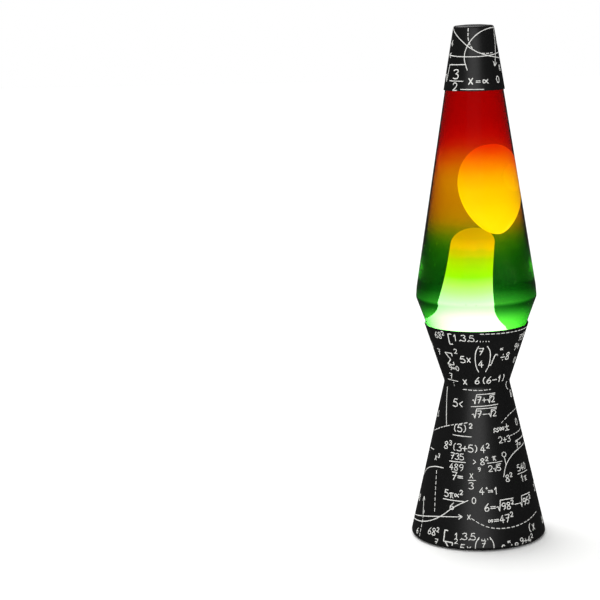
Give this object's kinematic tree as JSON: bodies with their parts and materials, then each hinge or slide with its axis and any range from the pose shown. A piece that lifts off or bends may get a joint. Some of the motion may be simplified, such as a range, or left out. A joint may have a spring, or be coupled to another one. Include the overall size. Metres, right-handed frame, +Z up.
{
  "type": "lava lamp",
  "caption": "Lava lamp: printed hourglass base with an E14 reflector bulb, a lift-out tapered glass bottle of liquid and wax, and a loose conical cap.",
  "frame": {"origin": "on the surface the lamp stands on, on the lamp's axis", "axes": "+Z up the lamp's axis, +Y towards the cord outlet at the back, -Y the front"},
  "size_m": [0.1058, 0.1058, 0.4],
  "materials": {
    "black_paint": "satin black lacquer with a white screen print",
    "painted_glass": "clear glass with a coat that fades from red through amber to green",
    "lamp_liquid": "clear liquid",
    "wax": "soft glowing wax",
    "tinplate": "bright rolled tinplate",
    "liner": "soft sealing disc",
    "steel": "pressed mild steel",
    "zinc": "zinc plated",
    "brass": "stamped",
    "black_rubber": "moulded",
    "black_plastic": "fine moulded texture",
    "white_plastic": "heat-resistant moulding",
    "bulb_glass": "frosted face, mirrored cone",
    "clear_glass": "clear",
    "black_glass": "vitrified black insulator",
    "solder": "solder dome",
    "tungsten": "coiled wire"
  },
  "bodies": {
    "base": {"base_shell": "black_paint", "cord_grommet": "black_rubber", "bottom_plate": "black_plastic", "rubber_foot_1": "black_rubber", "rubber_foot_2": "black_rubber", "rubber_foot_3": "black_rubber", "rubber_foot_4": "black_rubber", "plate_screw_1": "zinc", "plate_screw_2": "zinc", "plate_screw_3": "zinc", "holder_bracket": "steel", "bracket_rivet_1": "zinc", "bracket_rivet_2": "zinc", "holder_nipple": "zinc", "nipple_nut": "zinc", "lamp_holder": "white_plastic", "holder_thread_sleeve": "brass", "holder_contact_spring": "brass", "terminal_block_1": "brass", "terminal_block_2": "brass", "terminal_screw_1": "zinc", "terminal_screw_2": "zinc"},
    "bulb_tip": {"bulb_insulator": "black_glass", "bulb_contact": "solder"},
    "bulb": {"bulb_glass": "bulb_glass", "bulb_screw_shell": "tinplate", "bulb_stem": "clear_glass", "lead_wire_1": "zinc", "lead_wire_2": "zinc", "filament": "tungsten"},
    "bottle": {"glass_bottle": "painted_glass", "crown_cap": "tinplate", "crown_liner": "liner", "lava_liquid": "lamp_liquid", "wax_pool": "wax", "wire_coil": "steel"},
    "wax": {"wax_blob": "wax"},
    "cap": {"cap_shell": "black_paint"}
  },
  "joints": [
    {"name": "bottle_lift", "type": "slide", "parent": "base", "child": "bottle", "axis": [0, 0, 1], "range_m": [0, 0.08]},
    {"name": "cap_lift", "type": "slide", "parent": "bottle", "child": "cap", "axis": [0, 0, 1], "range_m": [0, 0.08]},
    {"name": "wax_rise", "type": "slide", "parent": "bottle", "child": "wax", "axis": [-0.1952, 0.0976, 0.9759], "range_m": [0, 0.034], "deforming": ["lava_liquid"]},
    {"name": "bulb_rise", "type": "slide", "parent": "base", "child": "bulb_tip", "axis": [0, 0, 1], "range_m": [0, 0.0113]},
    {"name": "bulb_turn", "type": "hinge", "parent": "bulb_tip", "child": "bulb", "pos_m": [0, 0, 0.066], "axis": [0, 0, 1], "range_deg": [0, 1440]}
  ],
  "couplings": [
    {"joint": "bulb_rise", "follows": "bulb_turn", "m_per_rad": 0.00044913}
  ]
}
